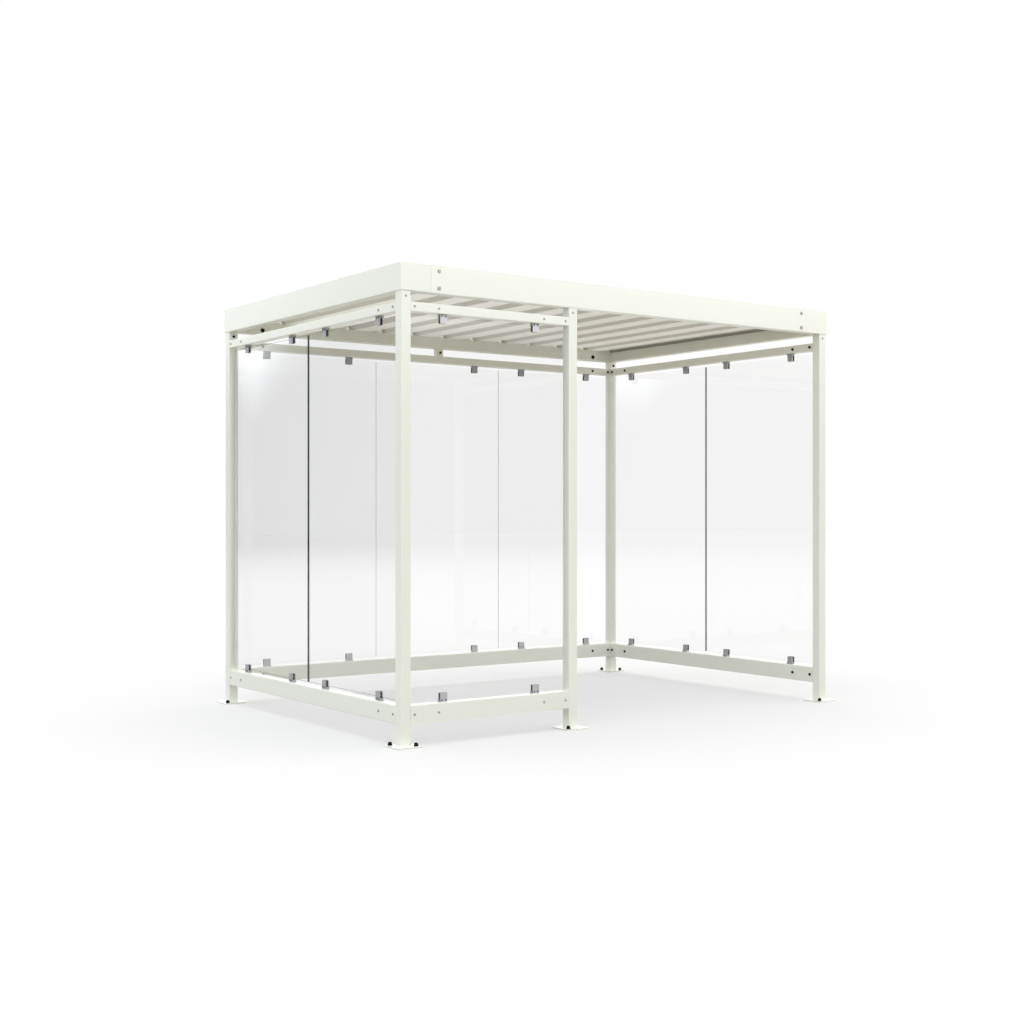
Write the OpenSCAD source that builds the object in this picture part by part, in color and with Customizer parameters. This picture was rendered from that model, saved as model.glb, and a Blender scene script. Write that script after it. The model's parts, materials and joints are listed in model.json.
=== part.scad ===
// Smoking shelter: a bolted square-tube frame on base plates, glass walls held in
// clamps, a folded gutter beam round the roof edge and a trapezoidal roof sheet in it.
// Millimetres. X runs along the front, Y from front to back, Z up.
// Origin: middle of the footprint at floor level. The front is at -Y.

/* [Glass] */
// Width of every pane
pane_w = 1026; // [800:1:1300]
// Height of every pane
pane_h = 2037; // [1400:1:2400]
// Thickness of the glass
pane_t = 8; // [6:1:12]
// Gap between two neighbouring panes
pane_gap = 8; // [4:1:20]
// Gap between a pane and the post beside it
post_gap = 13; // [6:1:30]
// Gap between a pane and the rails above and below it
rail_gap = 20; // [16:1:40]

/* [Posts and rails] */
// Side of the square post tube, also the depth of the rails
tube = 60; // [50:1:100]
// Wall thickness of the tubes
tube_wall = 3; // [2:0.5:5]
// Outer corner radius of the tubes
tube_r = 4; // [3.5:0.5:10]
// Height of the bottom rails
low_rail_h = 100; // [60:1:160]
// Height of the top rails
top_rail_h = 50; // [40:1:100]
// Clear height under the bottom rails
low_rail_z = 120; // [60:1:250]
// Clear height between the top rails and the roof beams
head_gap = 54; // [30:1:120]
// Side of the short square prop on the back rail
prop_w = 50; // [30:1:60]

/* [Base plates] */
// Side of the square base plates
plate_w = 150; // [130:1:220]
// Thickness of the base plates
plate_t = 8; // [6:1:15]
// Corner radius of the base plates
plate_r = 5; // [2:0.5:12]
// Distance of an anchor hole from the post's centre, along X and along Y
anchor_offset = 50; // [46:1:60]
// Diameter of the anchor holes
anchor_d = 14; // [8:0.5:18]

/* [Glass clamps] */
// Length of a clamp along the rail
clamp_w = 45; // [30:1:80]
// Distance from a pane's side edge to the middle of its clamp
clamp_inset = 206; // [80:1:300]
// Depth of glass that a clamp holds
clamp_bite = 30; // [20:1:50]
// Thickness of a clamp's jaws
jaw_t = 4; // [3:0.5:8]
// Corner radius of a clamp's jaws
jaw_r = 3; // [1:0.5:8]
// Thickness of the rubber between jaw and glass
pad_t = 2; // [1:0.5:8]
// Thickness of the rubber under the edge of the glass
pad_floor_t = 7; // [3:0.5:9]
// Distance that the jaws stand past the rubber
pad_drop = 2; // [1:0.5:5]
// Distance that a clamp's foot reaches into the room past its inner jaw
foot_ledge = 6; // [1:0.5:10]

/* [Roof beams] */
// Height of the folded beam's outer wall
beam_h = 147; // [130:1:220]
// Sheet thickness of the beam
beam_t = 3; // [2:0.5:4]
// Distance that the outer wall stands out from the posts
beam_lap = 5; // [2:0.5:20]
// Outer radius of the beam's folds
fold_r = 5; // [4.5:0.5:8]
// Height of the inner wall that carries the roof sheet, front and back
seat_h = 79; // [65:1:100]
// Distance from the roof sheet down to the inner walls at the sides
side_drop = 7; // [4:1:30]
// Length of the side beams' returns round the corners
corner_return = 188; // [150:1:300]
// Open seam between two beams
beam_seam = 1; // [0.5:0.5:4]
// Length of the splice sleeve inside each seam
splice_len = 160; // [100:1:200]
// Side clearance of a splice sleeve in the beam
splice_fit = 0.3; // [0.1:0.1:1]
// Height of a splice sleeve's outer wall
splice_h = 130; // [100:1:140]

/* [Roof sheet] */
// Thickness of the roof sheet
sheet_t = 1; // [0.6:0.1:2]
// Distance from rib to rib
rib_pitch = 255; // [180:1:350]
// Width of a rib at its foot
rib_foot_w = 115; // [90:1:140]
// Width of a rib at its top
rib_top_w = 70; // [30:1:85]
// Height of the ribs
rib_h = 35; // [20:1:40]
// Smallest flat margin beside the outer ribs
edge_flat_min = 25; // [10:1:280]
// Open gap between the sheet and the outer wall of the gutter, front and back
sheet_end_gap = 17; // [10:1:40]
// Gap between the sheet and the outer wall of the side beams
sheet_edge_gap = 2; // [1:0.5:10]

/* [Hidden] */
$fn = 48;

paint = "#eceee6";
glass = [0.86, 0.92, 0.91, 0.4];
clamp_grey = "#9a9c9e";
rubber_black = "#262626";

// Clear length between two posts that holds a number of panes
function bay(panes) = panes * pane_w + (panes - 1) * pane_gap + 2 * post_gap;

// Half width and half depth over the outer faces of the posts
hw = bay(3) / 2 + tube;
hd = bay(2) / 2 + tube;

// Centres of the corner posts and of the post beside the doorway
post_x = hw - tube / 2;
post_y = hd - tube / 2;
middle_post_x = -hw + 1.5 * tube + bay(1);

// Levels, from the floor up
low_rail_top = low_rail_z + low_rail_h;
pane_z = low_rail_top + rail_gap;
top_rail_z = pane_z + pane_h + rail_gap;
top_rail_top = top_rail_z + top_rail_h;
beam_z = top_rail_top + head_gap;
sheet_z = beam_z + seat_h;

// Clamp sizes that follow from the glass and the rubber
clamp_h = rail_gap + clamp_bite;
clamp_base_h = rail_gap - pad_floor_t;
clamp_half_d = pane_t / 2 + pad_t + jaw_t;

// Beam sizes that follow from the posts
beam_d = tube + beam_lap;
beam_hw = hw + beam_lap;
beam_hd = hd + beam_lap;
side_seat_h = seat_h - side_drop;
seam_x = beam_hw - corner_return;
splice_w = beam_d - 2 * beam_t - 2 * splice_fit;
splice_seat_h = side_seat_h - beam_t;

// Roof sheet between the outer walls of the side beams
sheet_hw = beam_hw - beam_t - sheet_edge_gap;
sheet_hd = beam_hd - beam_t - sheet_end_gap;
rib_count = 1 + floor((2 * sheet_hw - rib_foot_w - 2 * edge_flat_min) / rib_pitch);
rib_xs = [for (i = [0 : rib_count - 1]) (i - (rib_count - 1) / 2) * rib_pitch];
rib_slope = atan2(rib_h, (rib_foot_w - rib_top_w) / 2);
fold_shift = sheet_t * tan(rib_slope / 2);

// Number of panes in a wall
function wall_panes(side) = side == "front" ? 1 : side == "back" ? 3 : 2;

// Left edge of a pane, seen from outside and measured from the wall's outer corner
function pane_start(i) = tube + post_gap + i * (pane_w + pane_gap);

// Puts a wall in place: local X along its outer face, local Y into the room
module on_wall(side) {
    if (side == "front") translate([-hw, -hd, 0]) children();
    if (side == "right") translate([hw, -hd, 0]) rotate(90) children();
    if (side == "back") translate([hw, hd, 0]) rotate(180) children();
    if (side == "left") translate([-hw, hd, 0]) rotate(-90) children();
}

module rounded_rect(w, h, r) {
    translate([r, 0]) square([w - 2 * r, h]);
    translate([0, r]) square([w, h - 2 * r]);
    for (x = [r, w - r], y = [r, h - r])
        translate([x, y]) circle(r);
}

// Strip with two square and two rounded corners, the rounded ones at y = 0
module round_foot(w, h, r) {
    translate([0, r]) square([w, h - r]);
    translate([r, 0]) square([w - 2 * r, r]);
    for (x = [r, w - r])
        translate([x, r]) circle(r);
}

module tube_profile(w, h) {
    difference() {
        rounded_rect(w, h, tube_r);
        translate([tube_wall, tube_wall])
            rounded_rect(w - 2 * tube_wall, h - 2 * tube_wall, tube_r - tube_wall);
    }
}

// Turns a profile so that its X is depth, its Y is height and it runs along X
module run_along_x(length) {
    rotate([90, 0, 90])
        linear_extrude(length) children();
}

module post(x, y) {
    color(paint)
        translate([x - tube / 2, y - tube / 2, plate_t])
            linear_extrude(beam_z - plate_t) tube_profile(tube, tube);
}

// Base plate with its two anchor holes on one of the two diagonals
module base_plate(x, y, diagonal) {
    color(paint)
        translate([x, y, 0])
            linear_extrude(plate_t)
                difference() {
                    translate([-plate_w / 2, -plate_w / 2]) rounded_rect(plate_w, plate_w, plate_r);
                    for (s = [-1, 1])
                        translate([s * anchor_offset, s * diagonal * anchor_offset]) circle(d = anchor_d);
                }
}

module rail(side, z, h) {
    color(paint)
        on_wall(side)
            translate([tube, 0, z])
                run_along_x(bay(wall_panes(side))) tube_profile(tube, h);
}

module low_rail(side) {
    rail(side, low_rail_z, low_rail_h);
}

module top_rail(side) {
    rail(side, top_rail_z, top_rail_h);
}

// Short tube between the back rail and the back beam, in the middle of the wall
module back_prop() {
    color(paint)
        translate([-prop_w / 2, post_y - prop_w / 2, top_rail_top])
            linear_extrude(head_gap) tube_profile(prop_w, prop_w);
}

// Folded U-section: a high outer wall at x = 0 and a lower inner wall that is the seat
module folded_channel(w, h, inner_h, r) {
    difference() {
        round_foot(w, h, r);
        translate([beam_t, beam_t]) round_foot(w - 2 * beam_t, h, r - beam_t);
        translate([beam_t, inner_h]) square([w, h]);
    }
}

module straight_beam() {
    translate([-seam_x + beam_seam, -beam_hd, beam_z])
        run_along_x(2 * (seam_x - beam_seam))
            folded_channel(beam_d, beam_h, seat_h, fold_r);
}

// Block with its four bottom edges rounded, meeting in mitres at the corners
module round_foot_block(hx, hy, h, r) {
    reach = 2 * (hx + hy);
    intersection() {
        rotate([90, 0, 0])
            linear_extrude(reach, center = true)
                translate([-hx, 0]) round_foot(2 * hx, h, r);
        rotate([90, 0, 90])
            linear_extrude(reach, center = true)
                translate([-hy, 0]) round_foot(2 * hy, h, r);
    }
}

// Outer wall and floor of the gutter all round the roof
module gutter_tray() {
    room_hw = beam_hw - beam_d + fold_r;
    room_hd = beam_hd - beam_d + fold_r;
    difference() {
        round_foot_block(beam_hw, beam_hd, beam_h, fold_r);
        translate([0, 0, beam_t])
            round_foot_block(beam_hw - beam_t, beam_hd - beam_t, beam_h, fold_r - beam_t);
        translate([-room_hw, -room_hd, -beam_t])
            cube([2 * room_hw, 2 * room_hd, beam_h]);
    }
}

// Inner wall of the gutter with its fold and a strip of floor
module upstand(length, inner_h) {
    strip_x = beam_d / 2;
    run_along_x(length)
        intersection() {
            folded_channel(beam_d, beam_h, inner_h, fold_r);
            translate([strip_x, 0]) square([beam_d, inner_h]);
        }
}

// Side beam: a long leg whose ends return round the corners
module side_beam() {
    inner_hw = beam_hw - beam_d + beam_t;
    inner_hd = beam_hd - beam_d + beam_t;
    translate([0, 0, beam_z]) {
        intersection() {
            gutter_tray();
            translate([-2 * beam_hw - seam_x, -2 * beam_hd, 0])
                cube([2 * beam_hw, 4 * beam_hd, beam_h]);
        }
        translate([-beam_hw, inner_hd, 0])
            rotate(-90) upstand(2 * inner_hd, side_seat_h);
        for (m = [0, 1])
            mirror([0, m, 0])
                translate([-inner_hw, -beam_hd, 0]) upstand(inner_hw - seam_x, seat_h);
    }
}

module roof_beam_front() {
    color(paint) straight_beam();
}

module roof_beam_back() {
    color(paint) mirror([0, 1, 0]) straight_beam();
}

module roof_beam_left() {
    color(paint) side_beam();
}

module roof_beam_right() {
    color(paint) mirror([1, 0, 0]) side_beam();
}

// Sleeves inside the beams that bridge the four seams
module beam_splices() {
    color(paint)
        for (mx = [0, 1], my = [0, 1])
            mirror([mx, 0, 0]) mirror([0, my, 0])
                translate([-seam_x - splice_len / 2, beam_t + splice_fit - beam_hd, beam_z + beam_t])
                    run_along_x(splice_len)
                        folded_channel(splice_w, splice_h, splice_seat_h, fold_r);
}

// Underside of the sheet from left to right, then its upper side back again
module sheet_profile() {
    foot = rib_foot_w / 2;
    top = rib_top_w / 2;
    under = [for (x = rib_xs) each [[x - foot, 0], [x - top, rib_h], [x + top, rib_h], [x + foot, 0]]];
    upper = [for (x = rib_xs) each [
        [x - foot - fold_shift, sheet_t],
        [x - top - fold_shift, rib_h + sheet_t],
        [x + top + fold_shift, rib_h + sheet_t],
        [x + foot + fold_shift, sheet_t]]];
    last = len(upper) - 1;
    polygon(concat(
        [[-sheet_hw, 0]], under, [[sheet_hw, 0], [sheet_hw, sheet_t]],
        [for (i = [last : -1 : 0]) upper[i]], [[-sheet_hw, sheet_t]]));
}

// Ribs run from front to back and stay open at their ends, over the gutter
module roof_sheet() {
    color(paint)
        translate([0, sheet_hd, sheet_z])
            rotate([90, 0, 0])
                linear_extrude(2 * sheet_hd) sheet_profile();
}

module pane(side, i) {
    color(glass)
        on_wall(side)
            translate([pane_start(i), tube / 2 - pane_t / 2, pane_z])
                cube([pane_w, pane_t, pane_h]);
}

// Repeats a clamp piece at both ends of every pane, on the bottom rail and, upside
// down, under the top rail. Local Y = 0 is the middle of the glass, Z = 0 the rail.
module at_clamps(side) {
    on_wall(side)
        for (i = [0 : wall_panes(side) - 1], from_edge = [clamp_inset, pane_w - clamp_inset])
            translate([pane_start(i) + from_edge, tube / 2, 0]) {
                translate([0, 0, low_rail_top]) children();
                translate([0, 0, top_rail_z]) mirror([0, 0, 1]) children();
            }
}

// Upright jaw plate with its outer face at y and its free corners rounded
module jaw(y) {
    translate([-clamp_w / 2, y + jaw_t, 0])
        rotate([90, 0, 0])
            linear_extrude(jaw_t)
                translate([0, clamp_h]) mirror([0, 1]) round_foot(clamp_w, clamp_h, jaw_r);
}

// Foot block and inner jaw in one piece, the foot deeper than the jaws
module clamp_bodies(side) {
    color(clamp_grey)
        at_clamps(side) {
            translate([-clamp_w / 2, jaw_t - clamp_half_d, 0])
                cube([clamp_w, 2 * clamp_half_d - jaw_t + foot_ledge, clamp_base_h]);
            jaw(clamp_half_d - jaw_t);
        }
}

// Loose outer jaw that is screwed to the foot block
module clamp_plates(side) {
    color(clamp_grey)
        at_clamps(side) jaw(-clamp_half_d);
}

// U-shaped rubber round the edge of the glass
module clamp_pads(side) {
    pad_half_d = pane_t / 2 + pad_t;
    color(rubber_black)
        at_clamps(side)
            translate([-clamp_w / 2, 0, 0])
                run_along_x(clamp_w)
                    difference() {
                        translate([-pad_half_d, clamp_base_h])
                            square([2 * pad_half_d, clamp_h - pad_drop - clamp_base_h]);
                        translate([-pane_t / 2, rail_gap]) square([pane_t, clamp_h]);
                    }
}

post(-post_x, -post_y);  // post_front_left
post(middle_post_x, -post_y);  // post_front_middle
post(post_x, -post_y);  // post_front_right
post(-post_x, post_y);  // post_back_left
post(post_x, post_y);  // post_back_right
base_plate(-post_x, -post_y, -1);  // base_plate_front_left
base_plate(middle_post_x, -post_y, 1);  // base_plate_front_middle
base_plate(post_x, -post_y, 1);  // base_plate_front_right
base_plate(-post_x, post_y, 1);  // base_plate_back_left
base_plate(post_x, post_y, -1);  // base_plate_back_right
low_rail("front");  // low_rail_front
low_rail("left");  // low_rail_left
low_rail("back");  // low_rail_back
low_rail("right");  // low_rail_right
top_rail("front");  // top_rail_front
top_rail("left");  // top_rail_left
top_rail("back");  // top_rail_back
top_rail("right");  // top_rail_right
back_prop();
roof_beam_front();
roof_beam_back();
roof_beam_left();
roof_beam_right();
beam_splices();
roof_sheet();
pane("front", 0);  // pane_front
pane("left", 1);  // pane_left_front
pane("left", 0);  // pane_left_back
pane("back", 2);  // pane_back_left
pane("back", 1);  // pane_back_middle
pane("back", 0);  // pane_back_right
pane("right", 0);  // pane_right_front
pane("right", 1);  // pane_right_back
clamp_bodies("front");  // clamp_bodies_front
clamp_bodies("left");  // clamp_bodies_left
clamp_bodies("back");  // clamp_bodies_back
clamp_bodies("right");  // clamp_bodies_right
clamp_plates("front");  // clamp_plates_front
clamp_plates("left");  // clamp_plates_left
clamp_plates("back");  // clamp_plates_back
clamp_plates("right");  // clamp_plates_right
clamp_pads("front");  // clamp_pads_front
clamp_pads("left");  // clamp_pads_left
clamp_pads("back");  // clamp_pads_back
clamp_pads("right");  // clamp_pads_right
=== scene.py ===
# %% [markdown]
# # A glazed shelter, dressed in Blender
# The part is an open-fronted shelter: a bolted frame of white square tube, clear glass
# walls held in small clamps, and a flat roof sheet that lies inside a deep folded beam.
# The solids come from the CAD model and stay as they are. This lesson gives them their
# finishes, adds the small fasteners, and sets up the studio and the camera.

# %% Load the solids
import json
import math

import bmesh
import bpy
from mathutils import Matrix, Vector


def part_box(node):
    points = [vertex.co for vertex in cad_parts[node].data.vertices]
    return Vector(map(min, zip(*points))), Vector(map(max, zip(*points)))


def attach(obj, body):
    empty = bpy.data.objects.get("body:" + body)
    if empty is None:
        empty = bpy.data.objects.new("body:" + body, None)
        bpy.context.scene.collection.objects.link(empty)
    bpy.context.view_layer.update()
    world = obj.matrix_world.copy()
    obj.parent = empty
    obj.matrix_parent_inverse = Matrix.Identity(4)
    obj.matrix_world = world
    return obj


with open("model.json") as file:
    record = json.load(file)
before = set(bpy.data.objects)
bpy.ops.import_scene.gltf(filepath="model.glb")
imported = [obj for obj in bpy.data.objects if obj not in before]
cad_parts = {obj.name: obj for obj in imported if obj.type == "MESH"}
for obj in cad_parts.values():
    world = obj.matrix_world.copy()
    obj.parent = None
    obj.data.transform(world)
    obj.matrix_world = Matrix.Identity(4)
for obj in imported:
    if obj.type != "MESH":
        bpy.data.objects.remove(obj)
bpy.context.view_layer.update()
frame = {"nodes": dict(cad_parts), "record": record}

solids = frame["nodes"]
scene = bpy.context.scene

# %% [markdown]
# ## Where the picture was taken from
# The verticals of the photograph are upright, so the camera looks level. A camera could
# be turned by eye until it fits, but four edges of the frame whose lengths are known give
# its place directly: eye height, about nine metres off, and turned 35 degrees.

# %% The camera
EYE = (-5.470, -7.503, 1.238)
TURNED = -35.49
view = bpy.data.cameras.new("view")
view.lens = 50.0
view.sensor_width = 36.0
view.clip_end = 200.0
camera = bpy.data.objects.new("camera", view)
camera.location = EYE
camera.rotation_euler = (math.radians(90.0), 0.0, math.radians(TURNED))
scene.collection.objects.link(camera)
scene.camera = camera
scene.view_settings.view_transform = "Standard"
print("camera at", tuple(round(v, 2) for v in camera.location))

# %% [markdown]
# ## Writing shaders as sums
# A material is a net of nodes. Placing each Math node by hand hides what is worked out,
# so `Value` wraps one socket and lets Python's own signs add the nodes: `1 - mask` is a
# subtract node. `Finish` holds one node tree and makes any other node from its type, its
# settings and the values of its sockets.

# %% Value and Finish
class Value:
    """A number on its way through a node tree."""

    def __init__(self, finish, socket):
        self.finish = finish
        self.socket = socket

    def maths(self, operation, first, second):
        return self.finish.node("Math", {"operation": operation}, {0: first, 1: second})

    def __add__(self, other):
        return self.maths("ADD", self, other)

    def __radd__(self, other):
        return self.maths("ADD", other, self)

    def __sub__(self, other):
        return self.maths("SUBTRACT", self, other)

    def __rsub__(self, other):
        return self.maths("SUBTRACT", other, self)

    def __mul__(self, other):
        return self.maths("MULTIPLY", self, other)

    def __rmul__(self, other):
        return self.maths("MULTIPLY", other, self)

    def __truediv__(self, other):
        return self.maths("DIVIDE", self, other)

    def __pow__(self, other):
        return self.maths("POWER", self, other)

    def __abs__(self):
        return self.maths("ABSOLUTE", self, 0.0)

    def over(self, limit):
        return self.maths("GREATER_THAN", self, limit)


class Finish:
    """One node tree, and the ways to put nodes in it."""

    def __init__(self, owner, output):
        owner.use_nodes = True
        self.owner = owner
        self.tree = owner.node_tree
        self.tree.nodes.clear()
        self.end = self.tree.nodes.new("ShaderNodeOutput" + output)

    def node(self, kind, settings, sockets, out=0):
        made = self.tree.nodes.new("ShaderNode" + kind)
        for name, value in settings.items():
            setattr(made, name, value)
        for name, value in sockets.items():
            if isinstance(value, Value):
                self.tree.links.new(value.socket, made.inputs[name])
            else:
                made.inputs[name].default_value = value
        return Value(self, made.outputs[out])

    def spots(self, size, detail, place=None):
        """Noise whose blotches are about that many metres across."""
        where = place or self.node("TexCoord", {}, {}, "Object")
        return self.node("TexNoise", {}, {"Vector": where, "Scale": 1.0 / size, "Detail": detail})

    def blend(self, share, first, second):
        """A colour between two others."""
        return self.node("Mix", {"data_type": "RGBA"}, {0: share, 6: first, 7: second}, 2)

    def climb(self, value, low, high):
        """Nought up to one limit, one from the other on, and a smooth step between."""
        limits = {"Value": value, "From Min": low, "From Max": high}
        return self.node("MapRange", {"interpolation_type": "SMOOTHSTEP"}, limits)

    def relief(self, height, depth):
        """Bumps of that depth in metres, without changing the shape."""
        return self.node("Bump", {}, {"Height": height, "Distance": depth})

    def surface(self, shader):
        """Ends the tree and hands back the material or world it belongs to."""
        self.tree.links.new(shader.socket, self.end.inputs["Surface"])
        return self.owner


def new_finish(name):
    return Finish(bpy.data.materials.new(name), "Material")


print("shader helpers ready")

# %% [markdown]
# ## Powder coat
# The tubes and plates wear a baked powder coat: off-white, satin, with the fine orange
# peel that melted powder leaves. A plain white would look like plastic, so the coat gets
# three scales: broad clouds that shift the tone by two parts in a hundred, blotches
# a hand wide that change the gloss, and a peel about two millimetres across as relief.

# %% The frame's coat
def rgb(red, green, blue):
    return (red, green, blue, 1.0)


def grey(tone):
    return rgb(tone, tone, tone)


def powder_coat(name, pale, deep, gloss, peel_depth):
    coat = new_finish(name)
    clouds = coat.spots(0.45, 3.0)
    blotches = coat.spots(0.09, 2.0)
    peel = coat.spots(0.0022, 1.0)
    shader = coat.node(
        "BsdfPrincipled",
        {},
        {
            "Base Color": coat.blend(clouds, deep, pale),
            "Roughness": gloss + (blotches - 0.5) * 0.03 + (peel - 0.5) * 0.03,
            "Normal": coat.relief(peel, peel_depth),
            "IOR": 1.5,
        },
    )
    return coat.surface(shader)


FRAME_PALE = rgb(0.868, 0.880, 0.795)
FRAME_DEEP = rgb(0.848, 0.860, 0.772)
SATIN = 0.26
PEEL_DEPTH = 0.00001
frame_paint = powder_coat("frame_paint", FRAME_PALE, FRAME_DEEP, SATIN, PEEL_DEPTH)
beam_paint = powder_coat("beam_paint", FRAME_PALE, FRAME_DEEP, SATIN, PEEL_DEPTH)
print("coats:", frame_paint.name, beam_paint.name)

# %% [markdown]
# ## The roof sheet's coil coating
# The roof is rolled from steel that was painted flat, as a coil. The rollers run along
# the ribs, so the coating has faint lines in that direction and a fine leathery grain.
# Noise drawn out along Y gives the lines; the same kind of noise, left even, the grain.
# Such a coating is matt. A glossy one would mirror the sky and wash out the ribs, so the
# index of refraction is low and the roughness high.

# %% The coil coating
DRAWN_OUT = (1.0, 0.02, 1.0)
MATT = 0.40


def coil_coat(name, pale, deep):
    coat = new_finish(name)
    where = coat.node("TexCoord", {}, {}, "Object")
    along = coat.node("Mapping", {}, {"Vector": where, "Scale": DRAWN_OUT})
    lines = coat.spots(0.006, 2.0, along)
    clouds = coat.spots(0.3, 2.0)
    leather = coat.spots(0.003, 2.0)
    shader = coat.node(
        "BsdfPrincipled",
        {},
        {
            "Base Color": coat.blend(clouds * 0.6 + lines * 0.4, deep, pale),
            "Roughness": MATT + (lines - 0.5) * 0.08,
            "Normal": coat.relief(leather * 0.6 + lines * 0.4, 0.00002),
            "IOR": 1.12,
        },
    )
    return coat.surface(shader)


sheet_coating = coil_coat("sheet_coating", rgb(0.85, 0.85, 0.79), rgb(0.81, 0.81, 0.75))
print("coating:", sheet_coating.name)

# %% [markdown]
# ## Clear toughened glass
# A pane lets nearly all light through, mirrors a little of the room and more of it at a
# flat angle, and is dark green where one looks into its ground edge. True refraction
# would need many light bounces for an eight millimetre slab that hardly bends anything,
# so each face lets light straight through and mirrors a share that grows as Schlick's
# rule says. The edge is found from the face's own direction. An edge beside a post mirrors
# its white coat and hardly shows, but two edges in a joint see only each other and look
# dark. Here that shade is painted: how much of the dark edge shows is set wall by wall,
# from outside, in the joints and along the foot. The glass also lets a little less
# through on the left and right than in front, and that is painted shade too.
# Soft light loses a little more in each face than sight does. That keeps the room a shade
# darker than the open ground while the walls stay clear.

# %% The panes' glass
JOINT_HALF = 0.1
LIGHT_LET_IN = 0.885
HEAD_ON = 0.04


def clear_glass(name, across, clear, outer_edge_shade, joint_edge_shade, foot_edge_shade):
    """across is the direction the big faces look in: 0 for X and 1 for Y. clear is the
    light each face lets through, lowered wall by wall as painted shade. The others are
    painted shade: how dark a rim shows from outside, in a seam seen through the glass,
    and along the bottom."""
    glass = new_finish(name)
    turned_away = glass.node("LayerWeight", {}, {"Blend": 0.5}, "Facing")
    mirrored = HEAD_ON + (1.0 - HEAD_ON) * turned_away ** 5.0
    soft = glass.node("LightPath", {}, {}, "Is Diffuse Ray")
    sight = glass.node("BsdfTransparent", {}, {"Color": grey(clear)})
    light = glass.node("BsdfTransparent", {}, {"Color": grey(LIGHT_LET_IN)})
    through = glass.node("MixShader", {}, {0: soft, 1: sight, 2: light})
    mirror = glass.node("BsdfAnisotropic", {}, {"Color": grey(1.0), "Roughness": 0.01})
    face = glass.node("MixShader", {}, {0: mirrored, 1: through, 2: mirror})
    grinding = glass.spots(0.0015, 1.0)
    rim = glass.node(
        "BsdfPrincipled",
        {},
        {
            "Base Color": glass.blend(grinding, rgb(0.026, 0.034, 0.032), rgb(0.050, 0.064, 0.060)),
            "Roughness": 0.60 + (grinding - 0.5) * 0.2,
            "IOR": 1.25,
        },
    )
    way = glass.node("NewGeometry", {}, {}, "True Normal")
    inside = glass.node("NewGeometry", {}, {}, "Backfacing")
    where = glass.node("TexCoord", {}, {}, "Object")
    along = glass.node("SeparateXYZ", {}, {0: way}, across)
    level = abs(glass.node("SeparateXYZ", {}, {0: way}, 2)).over(0.5)
    near_joint = 1 - abs(glass.node("SeparateXYZ", {}, {0: where}, 1 - across)).over(JOINT_HALF)
    shade_seen_through = level * foot_edge_shade + (1 - level) * near_joint * joint_edge_shade
    # The dark rim's share is painted shade, set wall by wall.
    edge_and_shade = (1 - abs(along)).over(0.5) * (outer_edge_shade * (1 - inside) + inside * shade_seen_through)
    return glass.surface(glass.node("MixShader", {}, {0: edge_and_shade, 1: face, 2: rim}))


# One glass on every wall; the lower let-through and darker edges on the sides are painted shade,
# darkest on the left.
left_glass = clear_glass("clear_glass_left", 0, clear=0.966, outer_edge_shade=0.95, joint_edge_shade=1.0, foot_edge_shade=0.90)
right_glass = clear_glass("clear_glass_right", 0, clear=0.979, outer_edge_shade=0.85, joint_edge_shade=0.85, foot_edge_shade=0.0)
front_glass = clear_glass("clear_glass_front", 1, clear=0.991, outer_edge_shade=0.55, joint_edge_shade=0.0, foot_edge_shade=0.0)
print("glass:", left_glass.name, right_glass.name, front_glass.name)

# %% [markdown]
# ## Clamp metal, rubber, zinc, black plastic and black steel
# The clamps are cast and tumbled, so their metal is matt with a fine even grain. The pads
# are moulded rubber, nearly black and rough. The bolts are zinc plated, warmer and shinier
# than the clamps, with faint clouds in the plating. The nut caps are moulded plastic, black
# and dull, and the clamp screws are blackened steel. Each could have a net of its own, but
# all five are the same idea with other numbers, so one function makes them: a metal or a
# plain body, a grain for relief, and a roughness that wanders.

# %% The small finishes
def grained(name, pale, deep, metal, gloss, wander, grain_size, depth, ior=1.5):
    """A body with two tones, a grain that many metres across, and relief of that depth."""
    skin = new_finish(name)
    clouds = skin.spots(grain_size * 6.0, 2.0)
    grain = skin.spots(grain_size, 2.0)
    shader = skin.node(
        "BsdfPrincipled",
        {},
        {
            "Base Color": skin.blend(clouds * 0.5 + grain * 0.5, deep, pale),
            "Metallic": metal,
            "Roughness": gloss + (clouds - 0.5) * wander,
            "Normal": skin.relief(grain, depth),
            "IOR": ior,
        },
    )
    return skin.surface(shader)


clamp_metal = grained(
    "clamp_metal",
    rgb(0.44, 0.44, 0.46),
    rgb(0.35, 0.35, 0.37),
    metal=0.45,
    gloss=0.45,
    wander=0.16,
    grain_size=0.0008,
    depth=0.00006,
)
pad_rubber = grained(
    "pad_rubber",
    rgb(0.030, 0.030, 0.031),
    rgb(0.016, 0.016, 0.017),
    metal=0.0,
    gloss=0.62,
    wander=0.20,
    grain_size=0.0010,
    depth=0.00008,
)
bolt_zinc = grained(
    "bolt_zinc",
    rgb(0.44, 0.44, 0.41),
    rgb(0.33, 0.33, 0.305),
    metal=0.8,
    gloss=0.36,
    wander=0.20,
    grain_size=0.0012,
    depth=0.00003,
)
cap_plastic = grained(
    "cap_plastic",
    grey(0.006),
    grey(0.003),
    metal=0.0,
    gloss=0.60,
    wander=0.16,
    grain_size=0.0009,
    depth=0.00004,
    ior=1.25,
)
black_steel = grained(
    "black_steel",
    grey(0.10),
    grey(0.05),
    metal=0.6,
    gloss=0.45,
    wander=0.16,
    grain_size=0.0009,
    depth=0.00003,
)
small = (clamp_metal, pad_rubber, bolt_zinc, cap_plastic, black_steel)
print("small finishes:", [finish.name for finish in small])

# %% [markdown]
# ## Dressing the solids
# The imported record says which finish each solid wears. Only the glass needs more than
# that, because the side walls and the front and back walls look in different directions,
# and each side wall carries its own painted shade.

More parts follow.
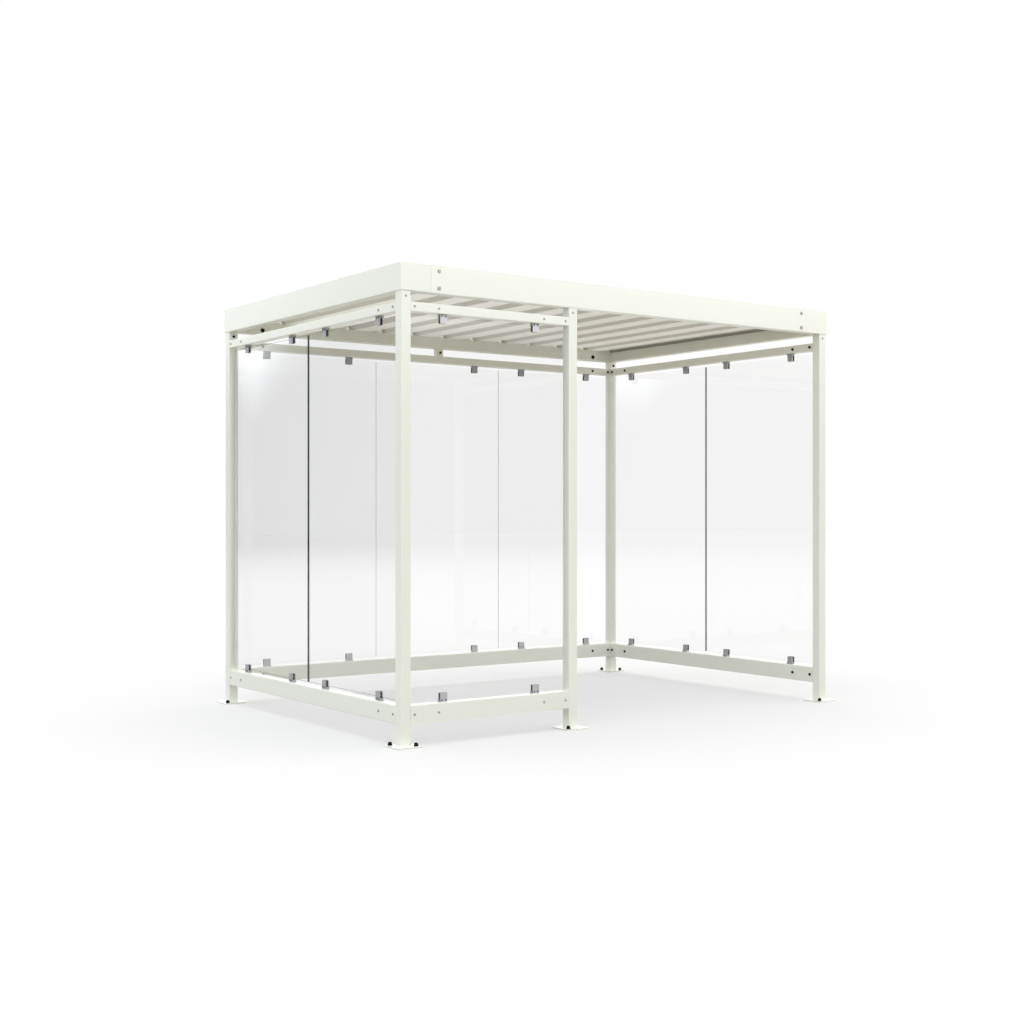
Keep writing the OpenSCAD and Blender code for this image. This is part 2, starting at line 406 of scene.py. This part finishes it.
# %% Finishes onto the solids
dress = {
    "frame_paint": frame_paint,
    "beam_paint": beam_paint,
    "sheet_coating": sheet_coating,
    "clear_glass": front_glass,
    "clamp_metal": clamp_metal,
    "pad_rubber": pad_rubber,
}
for part in frame["record"]["subparts"]:
    name = part["node"]
    finish = dress[part["material_slot"]]
    # The left and right panes take glass with their own painted shade.
    if name.startswith("pane_left"):
        finish = left_glass
    if name.startswith("pane_right"):
        finish = right_glass
    skins = solids[name].data.materials
    skins.clear()
    skins.append(finish)

# %% [markdown]
# ## Turned fasteners
# Bolt heads and caps are round pieces with a hexagon in them. They could be modelled
# face by face, but a lathe is shorter: a list of rings, each with a radius and a height,
# joined by a band of faces. A ring marked as hexagon follows the six flats instead of
# the circle. Shapes are made one unit wide and high and take their size later.

# %% The lathe
SIDES = 24
ROUND = "round"
HEXAGON = "hexagon"
SHARP = math.radians(35.0)


def ring_points(radius, height, form):
    points = []
    for step in range(SIDES):
        turn = 2.0 * math.pi * step / SIDES
        reach = radius
        if form == HEXAGON:
            reach = radius / math.cos((turn % (math.pi / 3.0)) - math.pi / 6.0)
        points.append((reach * math.cos(turn), reach * math.sin(turn), height))
    return points


def turned(name, rings):
    """Joins the rings by bands of faces and closes both ends."""
    shape = bmesh.new()
    loops = [[shape.verts.new(p) for p in ring_points(*ring)] for ring in rings]
    shape.faces.new(reversed(loops[0]))
    for low, high in zip(loops, loops[1:]):
        for step in range(SIDES):
            after = (step + 1) % SIDES
            shape.faces.new((low[step], low[after], high[after], high[step]))
    shape.faces.new(loops[-1])
    bmesh.ops.recalc_face_normals(shape, faces=shape.faces)
    mesh = bpy.data.meshes.new(name)
    shape.to_mesh(mesh)
    shape.free()
    mesh.shade_smooth()
    mesh.set_sharp_from_angle(angle=SHARP)
    return bpy.data.objects.new(name, mesh)


button_head = turned(
    "button_head",
    [
        (1.00, 0.00, ROUND),
        (1.00, 0.22, ROUND),
        (0.96, 0.28, ROUND),
        (0.76, 0.28, ROUND),
        (0.76, 0.42, ROUND),
        (0.70, 0.70, ROUND),
        (0.56, 0.90, ROUND),
        (0.38, 1.00, ROUND),
        (0.27, 1.00, HEXAGON),
        (0.25, 0.55, HEXAGON),
    ],
)
nut_cap = turned(
    "nut_cap",
    [
        (1.00, 0.00, ROUND),
        (1.00, 0.12, ROUND),
        (0.95, 0.18, ROUND),
        (0.80, 0.20, HEXAGON),
        (0.78, 0.60, HEXAGON),
        (0.74, 0.72, ROUND),
        (0.58, 0.88, ROUND),
        (0.34, 0.97, ROUND),
        (0.10, 1.00, ROUND),
    ],
)
socket_screw = turned(
    "socket_screw",
    [
        (1.00, 0.00, ROUND),
        (1.00, 0.45, ROUND),
        (0.92, 0.80, ROUND),
        (0.74, 1.00, ROUND),
        (0.46, 1.00, HEXAGON),
        (0.44, 0.30, HEXAGON),
    ],
)
lathed = (button_head, nut_cap, socket_screw)
print("lathe shapes:", [len(shape.data.polygons) for shape in lathed], "faces")

# %% [markdown]
# ## Setting the fasteners with Geometry Nodes
# A hundred bolts need not be placed one by one. Their seats are points that each hold
# the direction the wall faces, and one node tree puts a copy of a lathe shape on every
# seat, turns it that way, and gives it the chance turn a spanner leaves. The tree has
# named inputs for the size, and the seed is fixed, so each run is the same.

# %% The fastener tree
def new_tree(name, inputs):
    tree = bpy.data.node_groups.new(name, "GeometryNodeTree")
    tree.interface.new_socket("Geometry", in_out="INPUT", socket_type="NodeSocketGeometry")
    tree.interface.new_socket("Geometry", in_out="OUTPUT", socket_type="NodeSocketGeometry")
    labels = {}
    for label, kind in inputs.items():
        made = tree.interface.new_socket(label, in_out="INPUT", socket_type="NodeSocket" + kind)
        labels[label] = made.identifier
    return tree, labels


def put(tree, kind, settings, sockets):
    """A node with its settings, then its sockets, each a value or another node's output."""
    node = tree.nodes.new(kind)
    for name, value in settings.items():
        setattr(node, name, value)
    for name, value in sockets.items():
        if isinstance(value, bpy.types.NodeSocket):
            tree.links.new(value, node.inputs[name])
        else:
            node.inputs[name].default_value = value
    return node


def fastener_tree():
    tree, labels = new_tree(
        "set_fasteners",
        {
            "Shape": "Object",
            "Width": "Float",
            "Height": "Float",
            "Turn": "Float",
            "Seed": "Int",
            "Finish": "Material",
        },
    )
    given = tree.nodes.new("NodeGroupInput").outputs
    shape = put(tree, "GeometryNodeObjectInfo", {}, {"Object": given["Shape"]})
    facing = put(
        tree, "GeometryNodeInputNamedAttribute", {"data_type": "FLOAT_VECTOR"}, {"Name": "facing"}
    )
    aim = put(
        tree,
        "FunctionNodeAlignRotationToVector",
        {"axis": "Z"},
        {"Vector": facing.outputs["Attribute"]},
    )
    back = put(tree, "ShaderNodeMath", {"operation": "MULTIPLY"}, {0: given["Turn"], 1: -1.0})
    chance = tree.nodes.new("FunctionNodeRandomValue")
    chance.data_type = "FLOAT"
    tree.links.new(back.outputs[0], chance.inputs[2])
    tree.links.new(given["Turn"], chance.inputs[3])
    tree.links.new(given["Seed"], chance.inputs["Seed"])
    spin = put(
        tree,
        "FunctionNodeAxisAngleToRotation",
        {},
        {"Axis": (0.0, 0.0, 1.0), "Angle": chance.outputs[1]},
    )
    pose = put(
        tree,
        "FunctionNodeRotateRotation",
        {"rotation_space": "LOCAL"},
        {0: aim.outputs[0], 1: spin.outputs[0]},
    )
    half = put(tree, "ShaderNodeMath", {"operation": "MULTIPLY"}, {0: given["Width"], 1: 0.5})
    size = put(
        tree,
        "ShaderNodeCombineXYZ",
        {},
        {0: half.outputs[0], 1: half.outputs[0], 2: given["Height"]},
    )
    copies = put(
        tree,
        "GeometryNodeInstanceOnPoints",
        {},
        {
            "Points": given["Geometry"],
            "Instance": shape.outputs["Geometry"],
            "Rotation": pose.outputs[0],
            "Scale": size.outputs[0],
        },
    )
    real = put(tree, "GeometryNodeRealizeInstances", {}, {"Geometry": copies.outputs[0]})
    skin = put(
        tree,
        "GeometryNodeSetMaterial",
        {},
        {"Geometry": real.outputs[0], "Material": given["Finish"]},
    )
    put(tree, "NodeGroupOutput", {}, {"Geometry": skin.outputs[0]})
    return tree, labels


FASTENERS, FASTENER_LABELS = fastener_tree()
print("tree", FASTENERS.name, "with", len(FASTENERS.nodes), "nodes")


# %% Running a tree and keeping its mesh
def grow(name, seed_mesh, tree, labels, values):
    """Runs a tree on a mesh and keeps the result as a plain piece that rides on the frame."""
    piece = bpy.data.objects.new(name, seed_mesh)
    scene.collection.objects.link(piece)
    way = piece.modifiers.new(tree.name, "NODES")
    way.node_group = tree
    for label, value in values.items():
        way[labels[label]] = value
    graph = bpy.context.evaluated_depsgraph_get()
    made = bpy.data.meshes.new_from_object(piece.evaluated_get(graph), depsgraph=graph)
    made.name = name
    piece.modifiers.remove(way)
    piece.data = made
    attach(piece, "root")
    print(name, len(made.polygons), "faces")


def fasten(name, seats, shape, width, height, finish, seed):
    """Sets one lathe shape, that wide and high, on every seat."""
    mesh = bpy.data.meshes.new(name + "_seats")
    mesh.from_pydata([place for place, _ in seats], [], [])
    facing = mesh.attributes.new("facing", "FLOAT_VECTOR", "POINT")
    facing.data.foreach_set("vector", [c for _, way in seats for c in way])
    values = {
        "Shape": shape,
        "Width": width,
        "Height": height,
        "Turn": math.pi,
        "Seed": seed,
        "Finish": finish,
    }
    grow(name, mesh, FASTENERS, FASTENER_LABELS, values)


# %% [markdown]
# ## Bolts through rails, posts and beams
# Each rail slides over a stub on the post and is held by two cross bolts at each end:
# a small button head outside, a black nut cap on the room side. One more bolt goes
# through each post head, and two join the long beams to each corner piece. Every seat
# is taken from the box of the solid that carries it, so none can float.

# %% Seats on the tubes
OUTWARD = {
    "front": Vector((0.0, -1.0, 0.0)),
    "back": Vector((0.0, 1.0, 0.0)),
    "left": Vector((-1.0, 0.0, 0.0)),
    "right": Vector((1.0, 0.0, 0.0)),
}


def on_face(node, facing, along, height):
    """The point of a solid's face that looks towards facing, and that direction."""
    low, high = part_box(node)
    if facing.y:
        place = (along, high.y if facing.y > 0 else low.y, height)
    else:
        place = (high.x if facing.x > 0 else low.x, along, height)
    return Vector(place), facing.copy()


END_BOLTS = (0.024, 0.176)
rail_heads, rail_caps = [], []
for wall, outward in OUTWARD.items():
    run = 0 if outward.y else 1
    for rail in ("low_rail_" + wall, "top_rail_" + wall):
        low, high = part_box(rail)
        middle = (low.z + high.z) / 2.0
        for inset in END_BOLTS:
            for along in (low[run] + inset, high[run] - inset):
                rail_heads.append(on_face(rail, outward, along, middle))
                rail_caps.append(on_face(rail, -outward, along, middle))
print(len(rail_heads), "rail bolts")

# %% Seats on the post heads and the beams
HEAD_BOLT_Z = 2.374
head_bolts, head_caps = [], []
for node in [n for n in solids if n.startswith("post_")] + ["back_prop"]:
    low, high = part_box(node)
    outward = OUTWARD["front" if high.y < 0 else "back"]
    middle = (low.x + high.x) / 2.0
    head_bolts.append(on_face(node, outward, middle, HEAD_BOLT_Z))
    head_caps.append(on_face(node, -outward, middle, HEAD_BOLT_Z))

BEAM_BOLT_X = 1.386
BEAM_BOLT_Z = (2.429, 2.521)
beam_heads, beam_caps = [], []
for wall in ("front", "back"):
    beam = "roof_beam_" + wall
    outward = OUTWARD[wall]
    for along in (-BEAM_BOLT_X, BEAM_BOLT_X):
        for height in BEAM_BOLT_Z:
            beam_heads.append(on_face(beam, outward, along, height))
        beam_caps.append(on_face(beam, -outward, along, BEAM_BOLT_Z[0]))
print(len(head_bolts), "post-head bolts,", len(beam_heads), "beam bolts")

# %% Setting the bolts
fasten(
    "rail_bolts",
    rail_heads + head_bolts,
    button_head,
    width=0.015,
    height=0.0050,
    finish=bolt_zinc,
    seed=3,
)
fasten(
    "rail_nut_caps",
    rail_caps + head_caps,
    nut_cap,
    width=0.018,
    height=0.0110,
    finish=cap_plastic,
    seed=5,
)
fasten(
    "beam_bolts",
    beam_heads,
    button_head,
    width=0.024,
    height=0.0085,
    finish=bolt_zinc,
    seed=7,
)
fasten(
    "beam_nut_caps",
    beam_caps,
    nut_cap,
    width=0.028,
    height=0.0140,
    finish=cap_plastic,
    seed=9,
)

# %% [markdown]
# ## Anchor caps and clamp screws
# Two ground anchors hold each base plate, on one diagonal, under black domed caps. Each
# clamp's outer plate is drawn up by two small socket screws beside the rail.

# %% Setting caps and screws
ANCHOR = 0.050
UPWARD = Vector((0.0, 0.0, 1.0))
FALLING = ("base_plate_front_left", "base_plate_back_right")
anchors = []
for node in [n for n in solids if n.startswith("base_plate_")]:
    low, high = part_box(node)
    middle = (low + high) / 2.0
    slope = -1.0 if node in FALLING else 1.0
    for side in (-ANCHOR, ANCHOR):
        place = Vector((middle.x + side, middle.y + side * slope, high.z))
        anchors.append((place, UPWARD))
fasten(
    "anchor_caps",
    anchors,
    nut_cap,
    width=0.026,
    height=0.0190,
    finish=cap_plastic,
    seed=11,
)

CLAMP_INSET = 0.206
SCREW_SPREAD = 0.0125
SCREW_FROM_RAIL = 0.0105
screws = []
for pane in [n for n in solids if n.startswith("pane_")]:
    wall = pane.split("_")[1]
    outward = OUTWARD[wall]
    run = 0 if outward.y else 1
    low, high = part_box(pane)
    rail_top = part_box("low_rail_" + wall)[1].z
    rail_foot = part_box("top_rail_" + wall)[0].z
    for middle in (low[run] + CLAMP_INSET, high[run] - CLAMP_INSET):
        for along in (middle - SCREW_SPREAD, middle + SCREW_SPREAD):
            for height in (rail_top + SCREW_FROM_RAIL, rail_foot - SCREW_FROM_RAIL):
                screws.append(on_face("clamp_plates_" + wall, outward, along, height))
fasten(
    "clamp_screws",
    screws,
    socket_screw,
    width=0.0085,
    height=0.0030,
    finish=black_steel,
    seed=13,
)

# %% [markdown]
# ## Weld beads at the post feet
# Each post is welded to its base plate all round, under the coat. A bead could be a
# plain rounded strip, but a real one is a row of overlapping puddles. A node tree draws
# a path round the foot, sweeps a circle along it, and lets the circle swell and shrink.

# %% The bead tree
STEPS_PER_PUDDLE = 4.0
SWELL = 0.10
BEAD_SIDES = 10


def bead_tree():
    tree, labels = new_tree(
        "lay_bead", {"Bead": "Float", "Puddle": "Float", "Finish": "Material"}
    )
    given = tree.nodes.new("NodeGroupInput").outputs
    path = put(tree, "GeometryNodeMeshToCurve", {}, {"Mesh": given["Geometry"]})
    step = put(
        tree, "ShaderNodeMath", {"operation": "DIVIDE"}, {0: given["Puddle"], 1: STEPS_PER_PUDDLE}
    )
    fine = put(
        tree,
        "GeometryNodeResampleCurve",
        {"mode": "LENGTH"},
        {"Curve": path.outputs[0], "Length": step.outputs[0]},
    )
    done = put(tree, "GeometryNodeSplineParameter", {}, {})
    turns = put(
        tree,
        "ShaderNodeMath",
        {"operation": "DIVIDE"},
        {0: done.outputs["Length"], 1: given["Puddle"]},
    )
    angle = put(
        tree, "ShaderNodeMath", {"operation": "MULTIPLY"}, {0: turns.outputs[0], 1: 2.0 * math.pi}
    )
    wave = put(tree, "ShaderNodeMath", {"operation": "SINE"}, {0: angle.outputs[0]})
    swell = put(
        tree,
        "ShaderNodeMath",
        {"operation": "MULTIPLY_ADD"},
        {0: wave.outputs[0], 1: SWELL, 2: 1.0},
    )
    bead = put(
        tree,
        "GeometryNodeSetCurveRadius",
        {},
        {"Curve": fine.outputs[0], "Radius": swell.outputs[0]},
    )
    ring = put(
        tree,
        "GeometryNodeCurvePrimitiveCircle",
        {},
        {"Resolution": BEAD_SIDES, "Radius": given["Bead"]},
    )
    spread = put(tree, "GeometryNodeInputRadius", {}, {})
    sweep = put(
        tree,
        "GeometryNodeCurveToMesh",
        {},
        {
            "Curve": bead.outputs[0],
            "Profile Curve": ring.outputs[0],
            "Scale": spread.outputs[0],
        },
    )
    soft = put(tree, "GeometryNodeSetShadeSmooth", {}, {"Geometry": sweep.outputs[0]})
    real = put(tree, "GeometryNodeRealizeInstances", {}, {"Geometry": soft.outputs[0]})
    skin = put(
        tree,
        "GeometryNodeSetMaterial",
        {},
        {"Geometry": real.outputs[0], "Material": given["Finish"]},
    )
    put(tree, "NodeGroupOutput", {}, {"Geometry": skin.outputs[0]})
    return tree, labels


BEADS, BEAD_LABELS = bead_tree()
print("tree", BEADS.name, "with", len(BEADS.nodes), "nodes")

# %% Paths round the feet
POST_CORNER = 0.004
BEAD_RADIUS = 0.0032
PUDDLE = 0.006
BEAD_LIFT = 0.0006
CORNER_STEP = 15
points, edges = [], []
for node in [n for n in solids if n.startswith("post_")]:
    low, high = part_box(node)
    first = len(points)
    corners = [
        (high.x, high.y, 0),
        (low.x, high.y, 90),
        (low.x, low.y, 180),
        (high.x, low.y, 270),
    ]
    for x, y, start in corners:
        inward_x = -POST_CORNER if x == high.x else POST_CORNER
        inward_y = -POST_CORNER if y == high.y else POST_CORNER
        for turn in range(start, start + 91, CORNER_STEP):
            way = math.radians(turn)
            points.append(
                (
                    x + inward_x + POST_CORNER * math.cos(way),
                    y + inward_y + POST_CORNER * math.sin(way),
                    low.z + BEAD_LIFT,
                )
            )
    count = len(points) - first
    edges += [(first + i, first + (i + 1) % count) for i in range(count)]
paths = bpy.data.meshes.new("foot_paths")
paths.from_pydata(points, edges, [])
bead_values = {"Bead": BEAD_RADIUS, "Puddle": PUDDLE, "Finish": frame_paint}
grow("weld_beads", paths, BEADS, BEAD_LABELS, bead_values)

# %% [markdown]
# ## The floor
# The shelter stands on a pale floor that keeps the soft shadow of the roof. One plain
# white would do for the shadow, but it would throw too much light up at the rails and
# mirror as a bright band in every face. So the floor has three tones: lifted to white for
# the camera, darker for the light it throws back, and for mirrored rays fading to dark
# far off, as ground does in front of walls and trees.

# %% Laying the floor
FLOOR = 60.0
plane = bpy.data.meshes.new("floor")
corners = [(-FLOOR, -FLOOR, 0), (FLOOR, -FLOOR, 0), (FLOOR, FLOOR, 0), (-FLOOR, FLOOR, 0)]
plane.from_pydata(corners, [], [(0, 1, 2, 3)])
floor = bpy.data.objects.new("floor", plane)
scene.collection.objects.link(floor)

FLOOR_SEEN = rgb(0.514, 0.484, 0.460)
FLOOR_BOUNCE = rgb(0.366, 0.334, 0.294)
FLOOR_FAR = grey(0.07)
LIFT_SEEN = 0.345
LIFT_MIRRORED = 0.45
LIFT_HUE = rgb(0.93, 1.0, 1.07)
ground = new_finish("floor")
seen = ground.node("LightPath", {}, {}, "Is Camera Ray")
mirrored = ground.node("LightPath", {}, {}, "Is Glossy Ray")
where = ground.node("TexCoord", {}, {}, "Object")
away = ground.node("VectorMath", {"operation": "LENGTH"}, {0: where}, "Value")
far = ground.climb(away, 9.0, 48.0)
near = ground.blend(seen, FLOOR_BOUNCE, FLOOR_SEEN)
tone = ground.blend(far * mirrored, near, FLOOR_FAR)
matt = ground.node("BsdfDiffuse", {}, {"Color": tone})
glow = LIFT_SEEN * seen + LIFT_MIRRORED * mirrored * (1 - far)
lift = ground.node("Emission", {}, {"Color": LIFT_HUE, "Strength": glow})
plane.materials.append(ground.surface(ground.node("AddShader", {}, {0: matt, 1: lift})))
print("floor", 2 * FLOOR, "m across")

# %% [markdown]
# ## The sky
# Soft light comes from all round, a little more from the left and the front, and less
# from straight above, so that the top of the roof keeps its tone. Gloss needs something
# to mirror as well. A picture of real surroundings could give both, but two levels are
# enough: one for soft light and one for mirrored rays. For these the surroundings are dim
# low down and brighten a few degrees up, most of all in front. Each row of SURROUNDINGS
# is a bearing in degrees, the brightness there, and how far down that brightness drops.

# %% Lighting the sky
SURROUNDINGS = [
    (-180, 5.0, 0.0), (-120, 2.0, 0.0), (-60, 1.2, 0.0), (-43, 0.6, 0.2),
    (-41.5, 3.2, 0.9), (-39.5, 3.6, 1.0), (-38, 0.6, 0.0), (-30, 0.3, 0.0),
    (-27.5, 0.7, 0.1), (-27.2, 2.2, 0.5), (-26.8, 2.2, 0.5), (-26.5, 1.0, 0.1),
    (-25.8, 1.4, 0.3), (-25.3, 2.4, 0.95), (-24.6, 2.8, 0.95), (-24, 3.0, 0.6),
    (-20, 4.0, 0.8), (0, 4.0, 0.0), (35, 2.5, 0.0), (90, 3.5, 0.0),
    (130, 9.5, 0.0), (140, 8.5, 0.0), (150, 6.8, 0.0), (180, 5.0, 0.0),
]
TOP = max(level for _, level, _ in SURROUNDINGS)
DROP = 0.06
DIM = 0.22
WARM_HUE = rgb(1.0, 0.99, 0.965)
COOL_HUE = rgb(0.935, 1.0, 1.07)
studio = bpy.data.worlds.new("studio")
scene.world = studio
sky = Finish(studio, "World")
way = sky.node("TexCoord", {}, {}, "Generated")
right, back, up = (sky.node("SeparateXYZ", {}, {0: way}, axis) for axis in (0, 1, 2))
bearing = sky.node("Math", {"operation": "ARCTAN2"}, {0: right, 1: back}) / (2 * math.pi) + 0.5
around = sky.node("ValToRGB", {}, {0: bearing})
ramp = around.socket.node.color_ramp
ramp.elements[0].position, ramp.elements[1].position = 0.0, 1.0
for degrees, _, _ in SURROUNDINGS[1:-1]:
    ramp.elements.new(degrees / 360.0 + 0.5)
for stop, (_, level, drop) in zip(ramp.elements, SURROUNDINGS):
    stop.color = rgb(level / TOP, drop, 0.0)
print("surroundings:", len(ramp.elements), "bearings")

# %% Two levels for one sky
strong = sky.node("SeparateColor", {}, {0: around}, 0)
lower = sky.node("SeparateColor", {}, {0: around}, 1)
above = sky.climb(up + DROP * lower, 0.11, 0.19)
beyond = sky.climb(up, 0.30, 0.45)
mottle = sky.node("TexNoise", {}, {"Vector": way, "Scale": 14.0, "Detail": 3.0})
gloss_level = DIM + (mottle - 0.5) * 0.15 + strong * TOP * (above - 0.85 * beyond)
zenith = sky.climb(up, 0.60, 0.95)
soft_level = (1.222 - 0.08 * right - 0.12 * back) * (1 - 0.22 * zenith)
seen = sky.node("LightPath", {}, {}, "Is Camera Ray")
mirrored = sky.node("LightPath", {}, {}, "Is Glossy Ray")
level = seen + (1 - seen) * (mirrored * gloss_level + (1 - mirrored) * soft_level)
cool = sky.blend((1 - seen) * (0.5 - 0.5 * right), WARM_HUE, COOL_HUE)
hue = sky.blend(seen, cool, grey(1.0))
sky.surface(sky.node("Background", {}, {"Color": hue, "Strength": level}))
studio.cycles.sampling_method = "NONE"
print("sky with", len(sky.tree.nodes), "nodes")

# %% [markdown]
# ## The lamps
# A soft lamp straight overhead puts the roof's shadow on the floor. It leaves out the
# roof sheet, because the pale top would clip to white under it. Bright ground all round
# also throws light up under the roof. A brighter floor could do that, but it would light
# every upright face as well, so two lamps shine up from the right instead. One is for the
# sheet: the flat pans turn bright and the rib sides stay dark. A weaker one is for the
# frame, except the left beam, which its rail keeps in the shade. The floor casts no
# shadow, or it would stop both.

# %% Hanging the lamps
def lamp(name, energy, spread, toward, linked, state):
    """A soft sun that shines along a direction, only on the linked solids or on all others."""
    sun = bpy.data.lights.new(name, "SUN")
    sun.energy = energy
    sun.angle = math.radians(spread)
    holder = bpy.data.objects.new(name, sun)
    holder.rotation_euler = Vector(toward).to_track_quat("-Z", "Y").to_euler()
    scene.collection.objects.link(holder)
    group = bpy.data.collections.new(name + " linking")
    for node in linked:
        group.objects.link(solids[node])
    for entry in group.collection_objects:
        entry.light_linking.link_state = state
    holder.light_linking.receiver_collection = group
    print(name, energy, state.lower(), linked)


DOWN = (0.0, 0.0, -1.0)
FROM_BELOW = (-0.53, 0.0, 0.85)
ONLY, ALL_BUT = "INCLUDE", "EXCLUDE"
SHADED = ["roof_sheet", "roof_beam_left"]
lamp("overhead", 0.95, 60.0, DOWN, ["roof_sheet"], ALL_BUT)
lamp("rise on the sheet", 1.65, 20.0, FROM_BELOW, ["roof_sheet"], ONLY)
lamp("rise on the frame", 1.1, 20.0, FROM_BELOW, SHADED, ALL_BUT)
floor.visible_shadow = False
